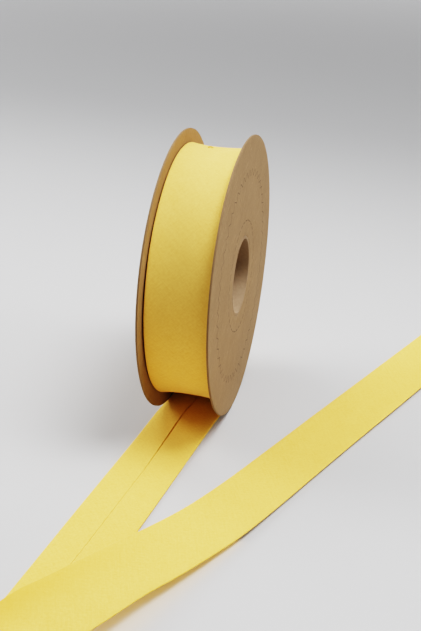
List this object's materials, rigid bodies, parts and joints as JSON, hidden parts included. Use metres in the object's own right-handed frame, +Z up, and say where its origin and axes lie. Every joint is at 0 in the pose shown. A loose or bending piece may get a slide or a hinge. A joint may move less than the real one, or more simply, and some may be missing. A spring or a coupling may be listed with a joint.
{
  "type": "reel of bias binding tape",
  "caption": "Card reel wound with folded cotton bias binding tape, its loose end drawn out from under the reel, turned over once and laid across the front.",
  "frame": {"origin": "on the table, midway between the two places where the discs stand, on the underside of the tape there", "axes": "+X along the reel's axis towards the disc that shows its outer face, +Y to the back, +Z up"},
  "size_m": [0.1706, 0.341, 0.1349],
  "materials": {
    "kraft_card": "matte unbleached board",
    "tube_paper": "matte wound paper",
    "yellow_cotton": "plain weave, cut on the bias"
  },
  "bodies": {
    "root": {"flange_left": "kraft_card", "flange_right": "kraft_card", "core_tube": "tube_paper", "tape_roll": "yellow_cotton", "tape_tail": "yellow_cotton"}
  },
  "joints": []
}
